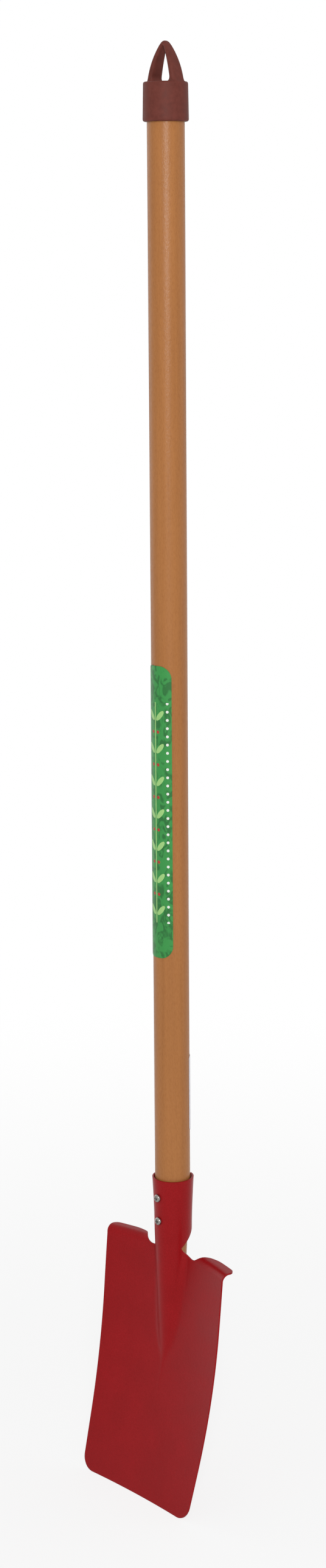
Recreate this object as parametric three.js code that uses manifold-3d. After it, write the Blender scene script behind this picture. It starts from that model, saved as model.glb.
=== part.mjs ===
// Children's spade: a round wooden handle screwed into the socket of a pressed steel blade,
// with a moulded hanging cap pushed onto its top and two labels stuck round it.
// Millimetres, +Z up. The blade's front faces -Y and its width runs along X.
// The origin is the top of the hole in the cap's loop, where a peg carries the hanging spade.

import * as THREE from 'three';
import { mergeVertices } from 'three/addons/utils/BufferGeometryUtils.js';
import ManifoldModule from 'manifold-3d';

// Handle: a turned stick with a tapered tenon in the socket
const handleDiameter = 22;
const handleExposed = 641.5;
const handleChamfer = 1.5;
const tenonLength = 62;
const tenonEndDiameter = 16.2;

// End cap: a sleeve closed at the top, with a pointed loop over it
const capSleeveLength = 22.4;
const capWall = 2.1;
const capTopThickness = 3;
const capDraft = 0.35;
const capRimRadius = 1.2;
const capTopRadius = 1;
const loopHoleHeight = 19.5;
const loopHoleWidth = 16;
const loopCrown = 3.4;
const loopLeg = 3.9;
const loopBulge = 2.5;
const loopHoleBulge = 1.6;
const loopPeakHalfWidth = 3.4;
const loopPeakHeight = 3;
const loopHolePeakHalfWidth = 1.7;
const loopHolePeakHeight = 1.5;
const loopBand = 9.4;
const loopCrownBand = 5.6;
const loopTaperPower = 2;
const loopEdgeRadius = 1.9;
const loopFootHeight = 3;
const loopFootOutside = 0.6;
const loopFootInside = 2.6;

// Socket: the top of the steel sheet, wrapped round the tenon and open along the back
const sheetThickness = 1;
const socketRimDiameter = 26;
const socketWaistDiameter = 23.5;
const socketFlare = 33;
const socketFlarePower = 1.5;
const socketSetBack = 0.3;
const seamGap = 6;
const wingLength = 35;
const wingCutAngle = 55;
const neckLength = 44.5;

// Blade: a dished panel that leans and then curves forward, with a hump that carries on the socket
const shoulderDrop = 51.4;
const bladeLength = 153;
const bladeTopWidth = 109.8;
const bladeTipWidth = 101;
const bladeCornerRadius = 9;
const bladeEdgeForward = 8.4;
const bladeLeanTop = 5.4;
const bladeLeanTip = 14.5;
const bladeCurveStart = 33;
const bladeCurveLength = 86;
const dishTop = 8.4;
const dishTip = 2.2;
const dishBelly = 1;
const humpTaper = 0.03;
const humpFillet = 4;
const humpNoseFillet = 12;
const humpLength = 72;
const humpNoseSoftness = 0.9;

// Treads: the tops of the shoulders, folded back to stand on
const notchFloor = 4;
const notchDrop = 50.3;
const treadRamp = 12;
const flangeRamp = 21;
const treadDepth = 9;
const treadBendRadius = 5;
const treadCornerRadius = 3;
const treadFlare = 1.8;

// Screws: two pan heads with a cross recess, on the front of the socket
const screwHeadDiameter = 5;
const screwHeadHeight = 1.5;
const screwHeadRim = 0.525;
const screwShankDiameter = 3;
const screwShankLength = 13;
const screwTipLength = 3;
const screwDrops = { socket_screw_upper: 11.75, socket_screw_lower: 27 };
const recessSpan = 2.9;
const recessWidth = 0.75;
const recessDepth = 0.9;

// Labels: thin skins stuck round the handle, each with a height above the socket's rim
const labelThickness = 0.25;
const frontLabel = { wrap: 22, length: 181, above: 144, corner: 8 };
const rearLabel = { wrap: 23, length: 48, above: 31, corner: 2 };

// Clearances between pieces
const fitGap = 0.3;
const labelGap = 0.1;

// Facets
const roundSides = 48;
const holeSides = 16;
const headSides = 24;
const legSteps = 10;
const crownSteps = 6;
const rimSteps = 3;
const edgeSteps = 3;
const domeSteps = 4;
const ridgeSteps = 7;
const filletSteps = 3;
const wingSteps = 8;
const rampSteps = 8;
const panelSteps = 2;
const cornerSteps = 4;
const panelRows = 20;
const socketRows = 8;
const bendRows = 5;
const flangeRows = 1;
const labelColumnSize = 1.5;
const weldTolerance = 1e-4;

// Sizes and heights that follow from the above, with the socket's rim at height 0
const handleRadius = handleDiameter / 2;
const sleeveRadius = handleRadius + fitGap + capWall;
const sleeveTop = handleExposed + capSleeveLength;
const pegSeat = sleeveTop + loopHoleHeight;
const handleTop = sleeveTop - capTopThickness - fitGap;
const loopRoot = -capTopThickness / 2;
const shoulder = -shoulderDrop;
const tip = shoulder - bladeLength;
const notch = -notchDrop;
const leanTop = THREE.MathUtils.degToRad(bladeLeanTop);
const leanTip = THREE.MathUtils.degToRad(bladeLeanTip);
const bendAngle = Math.PI / 2 - leanTop;
const bendLength = treadBendRadius * bendAngle;
const flangeFlat = treadDepth - treadBendRadius * Math.cos(leanTop);
const treadLength = bendLength + flangeFlat;

const steelRed = { color: '#92222a', roughness: 0.42, metalness: 0.05 };
const varnishedWood = { color: '#b07648', roughness: 0.5, metalness: 0 };
const capBrown = { color: '#6c3a32', roughness: 0.55, metalness: 0 };
const screwNickel = { color: '#c9c5c0', roughness: 0.25, metalness: 1 };
const labelGreen = { color: '#328c41', roughness: 0.45, metalness: 0 };
const labelWhite = { color: '#e4e2ea', roughness: 0.5, metalness: 0 };

const wasm = await ManifoldModule();
wasm.setup();

// Mesh helpers

function triangleSoup(geometry) {
  const bare = new THREE.BufferGeometry();
  bare.setAttribute('position', geometry.getAttribute('position'));
  if (geometry.index) bare.setIndex(geometry.index);
  const merged = mergeVertices(bare, weldTolerance);
  const kept = [];
  const index = merged.index.array;
  for (let i = 0; i < index.length; i += 3) {
    const [a, b, c] = [index[i], index[i + 1], index[i + 2]];
    if (a !== b && b !== c && c !== a) kept.push(a, b, c);
  }
  return { points: merged.getAttribute('position').array, triangles: kept };
}

function signedVolume({ points, triangles }) {
  const corner = (n) => new THREE.Vector3().fromArray(points, 3 * n);
  let six = 0;
  for (let i = 0; i < triangles.length; i += 3) {
    const [a, b, c] = [corner(triangles[i]), corner(triangles[i + 1]), corner(triangles[i + 2])];
    six += a.dot(b.cross(c));
  }
  return six / 6;
}

function solid(geometry) {
  const soup = triangleSoup(geometry);
  if (signedVolume(soup) < 0) soup.triangles.reverse();
  const vertProperties = new Float32Array(soup.points);
  const triVerts = new Uint32Array(soup.triangles);
  return new wasm.Manifold(new wasm.Mesh({ numProp: 3, vertProperties, triVerts }));
}

function geometryOf(manifold) {
  const mesh = manifold.getMesh();
  const geometry = new THREE.BufferGeometry();
  geometry.setAttribute('position', new THREE.BufferAttribute(new Float32Array(mesh.vertProperties), 3));
  geometry.setIndex(new THREE.BufferAttribute(new Uint32Array(mesh.triVerts), 1));
  geometry.computeVertexNormals();
  return geometry;
}

function piece(name, manifold, finish) {
  const mesh = new THREE.Mesh(geometryOf(manifold), new THREE.MeshStandardMaterial(finish));
  mesh.name = name;
  return mesh;
}

// A solid turned about Z from points of radius and height
function turned(profile, sides) {
  const geometry = new THREE.LatheGeometry(profile, sides);
  geometry.rotateX(Math.PI / 2);
  return solid(geometry);
}

function arcPoints(centreX, centreY, radius, from, to, steps) {
  const points = [];
  for (let i = 0; i <= steps; i += 1) {
    const angle = from + ((to - from) * i) / steps;
    points.push(new THREE.Vector2(centreX + radius * Math.cos(angle), centreY + radius * Math.sin(angle)));
  }
  return points;
}

// A closed tube through rings of points, with a flat fan over each end
function tube(rings) {
  const sides = rings[0].length;
  const positions = [];
  const index = [];
  for (const point of rings.flat()) positions.push(point.x, point.y, point.z);
  for (let r = 0; r + 1 < rings.length; r += 1) {
    for (let c = 0; c < sides; c += 1) {
      const [a, b] = [r * sides + c, r * sides + ((c + 1) % sides)];
      index.push(a, b, b + sides, a, b + sides, a + sides);
    }
  }
  const last = (rings.length - 1) * sides;
  for (let c = 1; c + 1 < sides; c += 1) {
    index.push(0, c + 1, c);
    index.push(last, last + c, last + c + 1);
  }
  const geometry = new THREE.BufferGeometry();
  geometry.setAttribute('position', new THREE.Float32BufferAttribute(positions, 3));
  geometry.setIndex(index);
  return solid(geometry);
}

// A bent sheet: patches are grids of points on its front, sewn where they meet and backed at its thickness.
// Each cell of a grid is cut along its shorter diagonal, so that mirrored halves come out alike.
function sheet(patches, thickness) {
  const positions = [];
  const index = [];
  for (const rows of patches) {
    const start = positions.length / 3;
    const width = rows[0].length;
    const grid = rows.flat();
    for (const point of grid) positions.push(point.x, point.y, point.z);
    for (let r = 0; r + 1 < rows.length; r += 1) {
      for (let c = 0; c + 1 < width; c += 1) {
        const a = r * width + c;
        const [b, far, d] = [a + 1, a + width + 1, a + width];
        const rising = grid[a].distanceTo(grid[far]) < grid[b].distanceTo(grid[d]);
        const cell = rising ? [a, b, far, a, far, d] : [a, b, d, b, far, d];
        index.push(...cell.map((n) => start + n));
      }
    }
  }
  const front = new THREE.BufferGeometry();
  front.setAttribute('position', new THREE.Float32BufferAttribute(positions, 3));
  front.setIndex(index);
  const { points, triangles } = triangleSoup(front);
  const sewn = new THREE.BufferGeometry();
  sewn.setAttribute('position', new THREE.BufferAttribute(points, 3));
  sewn.setIndex(triangles);
  sewn.computeVertexNormals();
  const normals = sewn.getAttribute('normal').array;
  const count = points.length / 3;
  const both = new Float32Array(points.length * 2);
  both.set(points);
  for (let i = 0; i < points.length; i += 1) both[points.length + i] = points[i] - normals[i] * thickness;
  const faces = [...triangles];
  const edges = new Map();
  for (let i = 0; i < triangles.length; i += 3) {
    const corners = [triangles[i], triangles[i + 1], triangles[i + 2]];
    faces.push(count + corners[2], count + corners[1], count + corners[0]);
    corners.forEach((from, k) => edges.set(`${from}>${corners[(k + 1) % 3]}`, [from, corners[(k + 1) % 3]]));
  }
  for (const [from, to] of edges.values()) {
    if (edges.has(`${to}>${from}`)) continue;
    faces.push(to, from, count + from, to, count + from, count + to);
  }
  const closed = new THREE.BufferGeometry();
  closed.setAttribute('position', new THREE.BufferAttribute(both, 3));
  closed.setIndex(faces);
  return solid(closed);
}

// Shape of the blade's front face, by half width and height

function socketRadius(z) {
  const waist = socketWaistDiameter / 2;
  const up = (z + socketFlare) / socketFlare;
  if (up > 0) return waist + (socketRimDiameter / 2 - waist) * up ** socketFlarePower;
  return waist - humpTaper * (-socketFlare - z);
}

function share(z) {
  return (shoulder - z) / bladeLength;
}

function halfWidth(z) {
  const down = Math.max(0, share(z));
  return bladeTopWidth / 2 - ((bladeTopWidth - bladeTipWidth) / 2) * down ** 2;
}

function edgeY(z) {
  const down = shoulder - z;
  const curved = THREE.MathUtils.clamp(down - bladeCurveStart, 0, bladeCurveLength);
  const straight = Math.max(0, down - bladeCurveStart - bladeCurveLength);
  const gain = Math.tan(leanTip) - Math.tan(leanTop);
  const bend = gain * (curved ** 2 / (2 * bladeCurveLength) + straight);
  return -bladeEdgeForward - down * Math.tan(leanTop) - bend;
}

function dish(z) {
  const down = share(z);
  return dishTop + (dishTip - dishTop) * down + 4 * dishBelly * down * (1 - down);
}

function centreY(z) {
  return edgeY(z) + dish(z);
}

// How far the hump's ridge stands in front of the panel, fading out softly at its nose
function ridgeRise(z) {
  const above = socketRadius(z) - (socketSetBack - centreY(z));
  return (above + Math.hypot(above, humpNoseSoftness)) / 2;
}

// The hump's fillet widens from its root at the neck to its nose
function fillet(z) {
  const along = THREE.MathUtils.clamp((-neckLength - z) / humpLength, 0, 1);
  return humpFillet + (humpNoseFillet - humpFillet) * along;
}

function humpFoot(z) {
  const rise = ridgeRise(z);
  return Math.sqrt(rise * (2 * socketRadius(z) + 2 * fillet(z) - rise));
}

function humpTangentAngle(z) {
  const rise = ridgeRise(z);
  const outer = socketRadius(z) + fillet(z);
  return Math.acos((outer - rise) / outer);
}

function humpRise(x, z) {
  const radius = socketRadius(z);
  const foot = humpFoot(z);
  const across = Math.abs(x);
  if (across >= foot) return 0;
  if (across > radius * Math.sin(humpTangentAngle(z))) {
    return fillet(z) - Math.sqrt(fillet(z) ** 2 - (foot - across) ** 2);
  }
  return Math.sqrt(radius ** 2 - across ** 2) - (radius - ridgeRise(z));
}

function bladePoint(x, z) {
  const bow = dish(z) * (x / (bladeTopWidth / 2)) ** 2;
  return new THREE.Vector3(x, centreY(z) - humpRise(x, z) - bow, z);
}

// Columns across one half of the blade: hump, fillet, notch, tread ramp, then the plain panel
const neck = -neckLength;
const neckAngle = humpTangentAngle(neck);
const neckEdge = socketRadius(neck) * Math.sin(neckAngle);
const hump = humpFoot(neck);
const notchEdge = hump + notchFloor;
const treadInner = notchEdge + treadRamp;

function fixedColumns() {
  const xs = [];
  for (let i = 0; i <= ridgeSteps; i += 1) {
    xs.push(socketRadius(neck) * Math.sin((neckAngle * i) / ridgeSteps));
  }
  for (let i = 1; i <= filletSteps; i += 1) {
    xs.push(hump - humpFillet * Math.sin(neckAngle * (1 - i / filletSteps)));
  }
  xs.push(hump + notchFloor / 2, notchEdge);
  for (let i = 1; i <= rampSteps; i += 1) xs.push(notchEdge + (treadRamp * i) / rampSteps);
  return xs;
}

// The plain panel's columns close up at its rounded corners, and follow the blade's taper
function panelColumns(z, corner) {
  const edge = halfWidth(z);
  const xs = [];
  for (let i = 1; i <= panelSteps; i += 1) {
    xs.push(treadInner + ((edge - corner - treadInner) * i) / panelSteps);
  }
  for (let i = 1; i <= cornerSteps; i += 1) {
    xs.push(edge - corner + corner * Math.sin((Math.PI / 2) * (i / cornerSteps)));
  }
  return xs;
}

function columns(z) {
  return [...fixedColumns(), ...panelColumns(z, bladeCornerRadius)];
}

function cornerCut(x, edge, radius) {
  const into = Math.max(0, x - (edge - radius));
  return radius - Math.sqrt(Math.max(0, radius ** 2 - into ** 2));
}

// Share of the tread's fold at its inner end, which rises from the notch in a soft S
function rampShare(x) {
  return THREE.MathUtils.smoothstep(x, notchEdge, treadInner);
}

// The tread's length across its fold: the bend, then a flat part that comes in later and has a round corner
function treadReach(x, edge) {
  const flat = flangeFlat * THREE.MathUtils.smoothstep(x, notchEdge, notchEdge + flangeRamp);
  return rampShare(x) * (bendLength + flat - cornerCut(x, edge, treadCornerRadius));
}

// The panel's top edge: level over the neck, an elliptic notch beside it, then the tread's fold
function panelTop(x) {
  if (x <= neckEdge) return neck;
  if (x >= notchEdge) return notch + (shoulder - notch) * rampShare(x);
  const inward = (notchEdge - x) / (notchEdge - neckEdge);
  return neck + (notch - neck) * Math.sqrt(Math.max(0, 1 - inward ** 2));
}

function mirrored(rows) {
  return rows.map((row) => row.map((p) => new THREE.Vector3(-p.x, p.y, p.z)).reverse());
}

function panelPatch() {
  const tipColumns = columns(tip);
  const topColumns = columns(shoulder);
  const rows = [];
  for (let r = 0; r <= panelRows; r += 1) {
    const up = r / panelRows;
    const half = topColumns.map((topX, c) => {
      const low = tip + cornerCut(tipColumns[c], halfWidth(tip), bladeCornerRadius);
      const z = low + (panelTop(topX) - low) * up;
      return bladePoint(columns(z)[c], z);
    });
    rows.push([...mirrored([half.slice(1)])[0], ...half]);
  }
  return rows;
}

// The tread runs up from the fold, round the bend and straight back to its outer edge
function treadPatch() {
  const edge = halfWidth(shoulder);
  const xs = columns(shoulder).filter((x) => x >= notchEdge - weldTolerance);
  const runs = [];
  for (let i = 0; i <= bendRows; i += 1) runs.push((bendLength * i) / bendRows);
  for (let i = 1; i <= flangeRows; i += 1) runs.push(bendLength + (flangeFlat * i) / flangeRows);
  return runs.map((run) => xs.map((x) => {
    const along = (run * treadReach(x, edge)) / treadLength;
    const angle = leanTop + Math.min(along, bendLength) / treadBendRadius;
    const flat = Math.max(0, along - bendLength);
    const back = treadBendRadius * (Math.cos(leanTop) - Math.cos(angle)) + flat;
    const rise = treadBendRadius * (Math.sin(angle) - Math.sin(leanTop));
    const fold = bladePoint(x, panelTop(x));
    const flare = (treadFlare * Math.max(0, x - treadInner)) / (edge - treadInner);
    return new THREE.Vector3(x + (flare * run) / treadLength, fold.y + back, fold.z + rise);
  }));
}

function socketPoint(angle, z) {
  const radius = socketRadius(z);
  return new THREE.Vector3(radius * Math.sin(angle), socketSetBack - radius * Math.cos(angle), z);
}

// The socket's wall from the neck's row to the rim, easing from the blade's form to a true cone
function socketPatch() {
  const seamAngle = Math.PI - Math.asin(seamGap / socketRimDiameter);
  const cutAngle = THREE.MathUtils.degToRad(wingCutAngle);
  const angles = [];
  for (let i = 0; i <= ridgeSteps; i += 1) angles.push((neckAngle * i) / ridgeSteps);
  for (let i = 1; i <= wingSteps; i += 1) angles.push(neckAngle + ((seamAngle - neckAngle) * i) / wingSteps);
  const rows = [];
  for (let r = 0; r <= socketRows; r += 1) {
    const half = angles.map((angle) => {
      const past = Math.max(0, angle - neckAngle);
      const low = neck + (neckLength - wingLength) * Math.min(1, past / cutAngle);
      const z = low * (1 - r / socketRows);
      const inNeck = Math.min(angle, neckAngle);
      const blade = bladePoint(socketRadius(neck) * Math.sin(inNeck), neck);
      const ease = (1 - r / socketRows) ** 2 * Math.max(0, 1 - past / cutAngle);
      const point = socketPoint(angle, z);
      return point.addScaledVector(blade.sub(socketPoint(inNeck, neck)), ease);
    });
    rows.push([...mirrored([half.slice(1)])[0], ...half]);
  }
  return rows;
}

// A screw's hole from one place to another along Y
function screwBore(drop, from, to) {
  const radius = screwShankDiameter / 2 + fitGap;
  const bore = new THREE.CylinderGeometry(radius, radius, to - from, holeSides);
  bore.translate(0, (from + to) / 2, -drop);
  return solid(bore);
}

function blade() {
  const tread = treadPatch();
  let body = sheet([panelPatch(), socketPatch(), tread, mirrored(tread)], sheetThickness);
  for (const drop of Object.values(screwDrops)) {
    body = body.subtract(screwBore(drop, -socketRimDiameter, 0));
  }
  return body;
}

function screwSeat(drop) {
  return socketSetBack - socketRadius(-drop) - fitGap;
}

function handle() {
  const tenonRadius = tenonEndDiameter / 2;
  const profile = [
    new THREE.Vector2(0, -tenonLength),
    new THREE.Vector2(tenonRadius - handleChamfer, -tenonLength),
    new THREE.Vector2(tenonRadius, -tenonLength + handleChamfer),
    new THREE.Vector2(handleRadius, 0),
    new THREE.Vector2(handleRadius, handleTop - handleChamfer),
    new THREE.Vector2(handleRadius - handleChamfer, handleTop),
    new THREE.Vector2(0, handleTop),
  ];
  let body = turned(profile, roundSides);
  for (const drop of Object.values(screwDrops)) {
    body = body.subtract(screwBore(drop, -handleDiameter, screwSeat(drop) + screwShankLength + fitGap));
  }
  return body;
}

// End cap

function capSleeve() {
  const bore = handleRadius + fitGap;
  const topRadius = sleeveRadius - capDraft;
  const rimHeight = handleExposed + capRimRadius;
  const quarter = Math.PI / 2;
  const profile = [
    new THREE.Vector2(0, sleeveTop - capTopThickness),
    new THREE.Vector2(bore, sleeveTop - capTopThickness),
    new THREE.Vector2(bore, handleExposed),
    ...arcPoints(sleeveRadius - capRimRadius, rimHeight, capRimRadius, -quarter, 0, rimSteps),
    ...arcPoints(topRadius - capTopRadius, sleeveTop - capTopRadius, capTopRadius, 0, quarter, rimSteps),
    new THREE.Vector2(0, sleeveTop),
  ];
  return turned(profile, roundSides);
}

// How far a foot of the loop has spread at a height above the sleeve's top, from 0 to 1
function footShare(z) {
  const down = THREE.MathUtils.clamp(1 - z / loopFootHeight, 0, 1);
  return 1 - Math.sqrt(1 - down ** 2);
}

// Points along one arch of the loop, from its right foot in the sleeve's top over the peak to its left foot
function archPoints(halfBase, top, peakHalfWidth, peakHeight, bulge, footSpread) {
  const kneeZ = top - peakHeight;
  const run = Math.hypot(halfBase - peakHalfWidth, kneeZ);
  const bulgeX = (halfBase + peakHalfWidth) / 2 + (bulge * kneeZ) / run;
  const bulgeZ = kneeZ / 2 + (bulge * (halfBase - peakHalfWidth)) / run;
  const peakX = peakHalfWidth - (peakHeight * (bulgeX - peakHalfWidth)) / (kneeZ - bulgeZ);
  const foot = new THREE.Vector2(halfBase, 0);
  const knee = new THREE.Vector2(peakHalfWidth, kneeZ);
  const peak = new THREE.Vector2(0, top);
  const leg = new THREE.QuadraticBezierCurve(foot, new THREE.Vector2(bulgeX, bulgeZ), knee);
  const crown = new THREE.QuadraticBezierCurve(knee, new THREE.Vector2(peakX, top), peak);
  const right = [new THREE.Vector2(halfBase, loopRoot)];
  for (let i = 0; i <= legSteps; i += 1) right.push(leg.getPoint((i / legSteps) ** 2));
  for (let i = 1; i <= crownSteps; i += 1) right.push(crown.getPoint(i / crownSteps));
  for (const point of right) point.x += footSpread * footShare(point.y);
  const left = right.slice(0, -1).map((point) => new THREE.Vector2(-point.x, point.y)).reverse();
  return [...right, ...left];
}

// The loop's section: a rounded rectangle, across the leg and along the band
function bandSection(legHalf, bandHalf) {
  const radius = Math.min(loopEdgeRadius, legHalf);
  const corner = (x, y, from) => arcPoints(x, y, radius, from, from + Math.PI / 2, edgeSteps);
  const [x, y] = [legHalf - radius, bandHalf - radius];
  const quarter = Math.PI / 2;
  return [
    ...corner(x, y, 0),
    ...corner(-x, y, quarter),
    ...corner(-x, -y, 2 * quarter),
    ...corner(x, -y, 3 * quarter),
  ];
}

// The loop: a rounded band between an outer and an inner arch, with its feet sunk in the sleeve's top
function capLoop() {
  const halfHole = loopHoleWidth / 2;
  const outside = [halfHole + loopLeg, loopHoleHeight + loopCrown, loopPeakHalfWidth, loopPeakHeight];
  const outer = archPoints(...outside, loopBulge, loopFootOutside);
  const hole = [halfHole, loopHoleHeight, loopHolePeakHalfWidth, loopHolePeakHeight];
  const inner = archPoints(...hole, loopHoleBulge, -loopFootInside);
  const rings = outer.map((far, i) => {
    const middle = far.clone().add(inner[i]).divideScalar(2);
    const leg = far.clone().sub(inner[i]);
    const way = leg.clone().normalize();
    const up = (Math.max(0, middle.y) / loopHoleHeight) ** loopTaperPower;
    const bandHalf = (loopBand + (loopCrownBand - loopBand) * up) / 2;
    return bandSection(leg.length() / 2, bandHalf).map((q) => (
      new THREE.Vector3(middle.x + way.x * q.x, q.y, sleeveTop + middle.y + way.y * q.x)
    ));
  });
  return tube(rings);
}

function endCap() {
  return capSleeve().add(capLoop());
}

// Screw with its head towards +Z and the head's underside at height 0
function screw() {
  const headRadius = screwHeadDiameter / 2;
  const shankRadius = screwShankDiameter / 2;
  const dome = screwHeadHeight - screwHeadRim;
  const profile = [
    new THREE.Vector2(0, -screwShankLength),
    new THREE.Vector2(shankRadius, screwTipLength - screwShankLength),
    new THREE.Vector2(shankRadius, 0),
    new THREE.Vector2(headRadius, 0),
    ...arcPoints(headRadius - dome, screwHeadRim, dome, 0, Math.PI / 2, domeSteps),
    new THREE.Vector2(0, screwHeadHeight),
  ];
  let body = turned(profile, headSides);
  for (const quarter of [0, Math.PI / 2]) {
    const slot = new THREE.BoxGeometry(recessSpan, recessWidth, 2 * recessDepth);
    slot.rotateZ(quarter);
    slot.translate(0, 0, screwHeadHeight);
    body = body.subtract(solid(slot));
  }
  return body;
}

// A label's skin, wrapped round the handle about a middle angle counted from the front
function label({ wrap, length, above, corner }, middle) {
  const radius = handleRadius + labelGap + labelThickness;
  const plain = wrap / 2 - corner;
  const plainSteps = Math.max(1, Math.ceil(plain / labelColumnSize));
  const cornerTurns = Math.ceil(((Math.PI / 2) * corner) / labelColumnSize);
  const half = [];
  for (let i = 0; i <= plainSteps; i += 1) half.push((plain * i) / plainSteps);
  for (let i = 1; i <= cornerTurns; i += 1) {
    half.push(plain + corner * Math.sin((Math.PI / 2) * (i / cornerTurns)));
  }
  const across = [...half.slice(1).map((s) => -s).reverse(), ...half];
  const rows = [0, 1].map((up) => across.map((s) => {
    const cut = cornerCut(Math.abs(s), wrap / 2, corner);
    const angle = middle + s / radius;
    const z = above + (up ? length - cut : cut);
    return new THREE.Vector3(radius * Math.sin(angle), -radius * Math.cos(angle), z);
  }));
  return sheet([rows], labelThickness);
}

const spade = new THREE.Group();
spade.name = 'childrens_spade';
spade.position.z = -pegSeat;
spade.add(piece('handle', handle(), varnishedWood));
spade.add(piece('blade', blade(), steelRed));
spade.add(piece('end_cap', endCap(), capBrown));
for (const [name, drop] of Object.entries(screwDrops)) {
  const mesh = piece(name, screw(), screwNickel);
  mesh.position.set(0, screwSeat(drop), -drop);
  mesh.rotation.x = Math.PI / 2;
  spade.add(mesh);
}
spade.add(piece('front_label', label(frontLabel, 0), labelGreen));
spade.add(piece('rear_label', label(rearLabel, Math.PI), labelWhite));

export default spade;
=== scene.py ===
# Looks of a children's spade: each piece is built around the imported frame, in metres, front facing -Y.

import math

import bmesh
import bpy
import numpy as np
from bpy.props import FloatProperty, FloatVectorProperty, PointerProperty
from bpy.types import Operator, Panel, PropertyGroup
from mathutils import Matrix, Vector


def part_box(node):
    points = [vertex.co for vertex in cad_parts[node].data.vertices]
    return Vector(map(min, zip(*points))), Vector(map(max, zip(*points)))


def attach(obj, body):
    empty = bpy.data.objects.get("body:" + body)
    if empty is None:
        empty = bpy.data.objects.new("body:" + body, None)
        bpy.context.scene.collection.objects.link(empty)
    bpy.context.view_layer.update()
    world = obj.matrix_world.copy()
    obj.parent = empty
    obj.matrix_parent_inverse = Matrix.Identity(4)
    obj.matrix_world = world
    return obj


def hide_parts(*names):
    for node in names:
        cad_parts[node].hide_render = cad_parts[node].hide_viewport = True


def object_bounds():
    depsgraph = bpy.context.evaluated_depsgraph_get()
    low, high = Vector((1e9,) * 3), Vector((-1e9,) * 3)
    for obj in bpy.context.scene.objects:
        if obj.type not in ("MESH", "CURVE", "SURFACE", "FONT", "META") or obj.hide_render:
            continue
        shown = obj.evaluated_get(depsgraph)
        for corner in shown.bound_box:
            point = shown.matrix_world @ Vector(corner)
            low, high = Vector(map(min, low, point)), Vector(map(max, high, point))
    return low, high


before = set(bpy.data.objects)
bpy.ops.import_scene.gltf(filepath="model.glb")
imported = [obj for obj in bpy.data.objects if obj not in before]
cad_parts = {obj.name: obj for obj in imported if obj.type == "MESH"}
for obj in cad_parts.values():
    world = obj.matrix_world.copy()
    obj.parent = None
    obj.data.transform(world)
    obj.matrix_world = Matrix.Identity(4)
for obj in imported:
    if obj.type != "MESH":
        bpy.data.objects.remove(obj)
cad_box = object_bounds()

bl_info = {
    "name": "Children's spade",
    "version": (1, 0, 0),
    "blender": (4, 5, 0),
    "location": "View3D > Sidebar > Spade",
    "description": "Builds the looks of a small wooden-handled digging spade",
    "category": "Object",
}

# Handle, with heights counted from the socket's rim
HANDLE_EXPOSED = 0.6415
HANDLE_CHAMFER = 0.0015
TENON_LENGTH = 0.062
TENON_END_DIAMETER = 0.0162

# End cap and its loop
CAP_SLEEVE_LENGTH = 0.0224
CAP_WALL = 0.0021
CAP_TOP_THICKNESS = 0.003
CAP_DRAFT = 0.00035
CAP_RIM_RADIUS = 0.0012
CAP_TOP_RADIUS = 0.001
LOOP_HOLE_HEIGHT = 0.0195
LOOP_HOLE_WIDTH = 0.016
LOOP_CROWN = 0.0034
LOOP_LEG = 0.0039
LOOP_BULGE = 0.0025
LOOP_HOLE_BULGE = 0.0016
LOOP_PEAK = (0.0034, 0.003)
LOOP_HOLE_PEAK = (0.0017, 0.0015)
LOOP_CROWN_BAND = 0.0056
LOOP_TAPER_POWER = 2
LOOP_EDGE_RADIUS = 0.0019
LOOP_FOOT_HEIGHT = 0.003
LOOP_FOOT_OUTSIDE = 0.0006
LOOP_FOOT_INSIDE = 0.0026
CAP_VOXEL = 0.00042
CAP_SMOOTHING = 6
CAP_SOFTNESS = 0.5

# Socket
SOCKET_RIM_DIAMETER = 0.026
SOCKET_WAIST_DIAMETER = 0.0235
SOCKET_FLARE = 0.033
SOCKET_FLARE_POWER = 1.5
SOCKET_SET_BACK = 0.0003
SEAM_GAP = 0.006
WING_LENGTH = 0.035
WING_CUT = math.radians(55)
NECK_LENGTH = 0.0445

# Blade panel and hump
SHOULDER = -0.0514
BLADE_LENGTH = 0.153
BLADE_TOP_WIDTH = 0.1098
BLADE_TIP_WIDTH = 0.101
BLADE_CORNER = 0.009
BLADE_FORWARD = 0.0084
LEAN_TOP = math.radians(5.4)
LEAN_TIP = math.radians(14.5)
CURVE_START = 0.033
CURVE_LENGTH = 0.086
DISH_TOP = 0.0084
DISH_TIP = 0.0022
DISH_BELLY = 0.001
HUMP_TAPER = 0.03
HUMP_FILLET = 0.004
HUMP_NOSE_FILLET = 0.012
HUMP_LENGTH = 0.072
NOSE_SOFTNESS = 0.0009

# Treads
NOTCH_FLOOR = 0.004
NOTCH = -0.0503
TREAD_RAMP = 0.012
FLANGE_RAMP = 0.021
TREAD_DEPTH = 0.009
TREAD_BEND_RADIUS = 0.005
TREAD_CORNER = 0.003
TREAD_FLARE = 0.0018

# Screws
SCREW_DROPS = (0.01175, 0.027)
SCREW_HEAD_RIM = 0.0005
SCREW_SHANK_RADIUS = 0.0015
SCREW_SHANK_LENGTH = 0.013
SCREW_TIP_LENGTH = 0.003
RECESS_SPAN = 0.0029
RECESS_WIDTH = 0.00075
RECESS_DEPTH = 0.0009

# Labels
FRONT_LABEL = {"wrap": 0.022, "length": 0.181, "above": 0.144, "corner": 0.008, "middle": 0.0}
REAR_LABEL = {"wrap": 0.023, "length": 0.048, "above": 0.031, "corner": 0.002, "middle": math.pi}
LABEL_GAP = 0.0001
LEAF_ROWS = 9
BLOSSOMS_PER_LEAF = 4
SPRIG_MARGIN = 0.002
STEM_HALF_WIDTH = 0.0004
LEAF = (0.0034, (0.0015, 0.0038), 0.7)
BERRY = (0.002, (0.001, 0.001))
BLOSSOM = (0.0083, (0.00085, 0.00085))

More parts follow.
